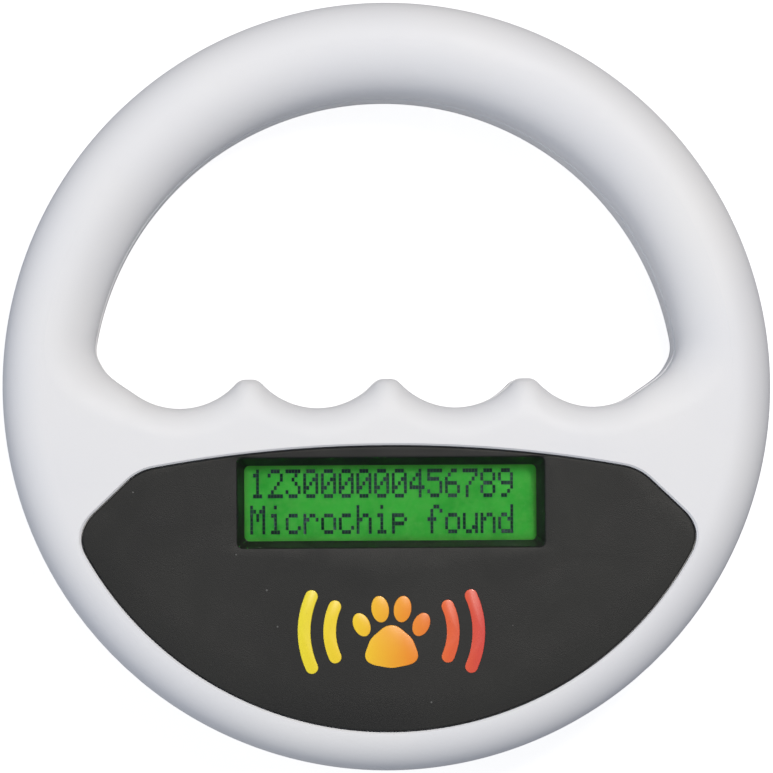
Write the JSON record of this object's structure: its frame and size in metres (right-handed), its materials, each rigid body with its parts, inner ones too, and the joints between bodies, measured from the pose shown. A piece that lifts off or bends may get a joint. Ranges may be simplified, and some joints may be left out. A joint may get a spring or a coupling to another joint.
{
  "type": "microchip scanner",
  "caption": "Ring-shaped hand-held reader for implanted pet microchips, with a carrying arch, finger grooves, a sunken green character display and a sprung read button in its back.",
  "frame": {"origin": "centre of the ring, on the back face that it lies on", "axes": "+Z out of the face, +Y towards the carrying arch, +X to the right of someone reading the display"},
  "size_m": [0.145, 0.145, 0.027],
  "materials": {
    "white_shell": "fine satin moulding",
    "charcoal_fascia": "fine spark-eroded texture",
    "emblem_ink": "gloss ink, yellow to red",
    "clear_lens": "clear polished",
    "black_foam": "closed-cell foam",
    "black_frame": "matt black paint",
    "display_green": "lit green",
    "backlight_white": "diffuse",
    "board_green": "solder mask",
    "moulded_black": "moulded",
    "gold_pins": "plated",
    "bright_steel": "plated",
    "ceramic_tan": "ceramic",
    "ferrite_grey": "sintered",
    "copper_winding": "enamelled copper wire",
    "natural_nylon": "moulded",
    "cell_wrap": "foil pouch",
    "lead_insulation": "insulated wire",
    "silver_label": "blank foil label",
    "grey_button": "satin moulding",
    "cover_rubber": "soft moulding"
  },
  "bodies": {
    "housing": {"front_shell": "white_shell", "rear_shell": "white_shell", "front_panel": "charcoal_fascia", "panel_emblem": "emblem_ink", "window_lens": "clear_lens", "lens_gasket": "black_foam", "lcd_bezel": "black_frame", "lcd_glass": "display_green", "lcd_backlight": "backlight_white", "lcd_board": "board_green", "lcd_header_strip": "moulded_black", "lcd_header_pins": "gold_pins", "lcd_screws": "bright_steel", "main_board": "board_green", "board_screws": "bright_steel", "microcontroller": "moulded_black", "antenna_driver": "moulded_black", "memory_chip": "moulded_black", "charge_controller": "moulded_black", "voltage_regulator": "moulded_black", "tuning_capacitors": "ceramic_tan", "power_inductor": "ferrite_grey", "crystal": "bright_steel", "buzzer": "moulded_black", "switch_body": "moulded_black", "antenna_coil": "copper_winding", "coil_clips": "natural_nylon", "antenna_leads": "copper_winding", "battery_cell": "cell_wrap", "battery_pad": "black_foam", "battery_leads": "lead_insulation", "battery_plug": "natural_nylon", "battery_socket": "natural_nylon", "usb_socket_shell": "bright_steel", "usb_socket_tongue": "moulded_black", "cover_pin": "bright_steel", "case_screws": "bright_steel", "rating_label": "silver_label"},
    "button": {"read_button": "grey_button"},
    "plunger": {"switch_plunger": "moulded_black"},
    "cover": {"port_cover": "cover_rubber"}
  },
  "joints": [
    {"name": "button_press", "type": "slide", "parent": "housing", "child": "button", "axis": [0, 0, 1], "range_m": [0, 0.0005], "stiffness_N_per_m": 3000, "springref_m": -0.0002},
    {"name": "plunger_press", "type": "slide", "parent": "housing", "child": "plunger", "axis": [0, 0, 1], "range_m": [0, 0.0005]},
    {"name": "cover_hinge", "type": "hinge", "parent": "housing", "child": "cover", "pos_m": [0, -0.07175, 0.0072], "axis": [1, 0, 0], "range_deg": [0, 110]}
  ],
  "couplings": [
    {"joint": "plunger_press", "follows": "button_press", "ratio": 1}
  ]
}
